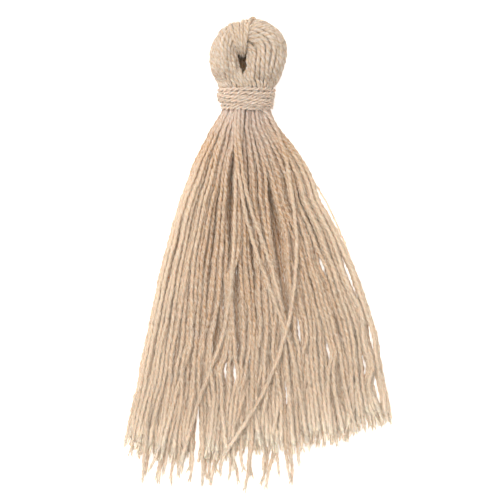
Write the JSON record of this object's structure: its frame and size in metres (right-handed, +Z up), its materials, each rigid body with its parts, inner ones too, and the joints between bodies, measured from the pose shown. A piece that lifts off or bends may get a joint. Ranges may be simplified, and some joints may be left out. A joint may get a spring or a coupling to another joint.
{
  "type": "tassel",
  "caption": "Hand-tied yarn tassel with a folded round head, a crown tie, a wound neck binding and a fanned skirt of cut yarns, lying flat.",
  "frame": {"origin": "middle of the footprint, on the surface that the tassel lies on", "axes": "+Y from the skirt's tips to the crown of the head, +Z up from the surface, +X to the right when the tassel is seen from above with its head up"},
  "size_m": [0.0448, 0.0786, 0.0112],
  "materials": {
    "skein_yarn": "matt two-ply cotton yarn, undyed beige",
    "tie_yarn": "matt two-ply cotton yarn, pulled tight",
    "binding_yarn": "matt two-ply cotton yarn, pulled tight, a little pinker"
  },
  "bodies": {
    "root": {"skein": "skein_yarn", "crown_tie": "tie_yarn", "neck_binding": "binding_yarn"}
  },
  "joints": []
}
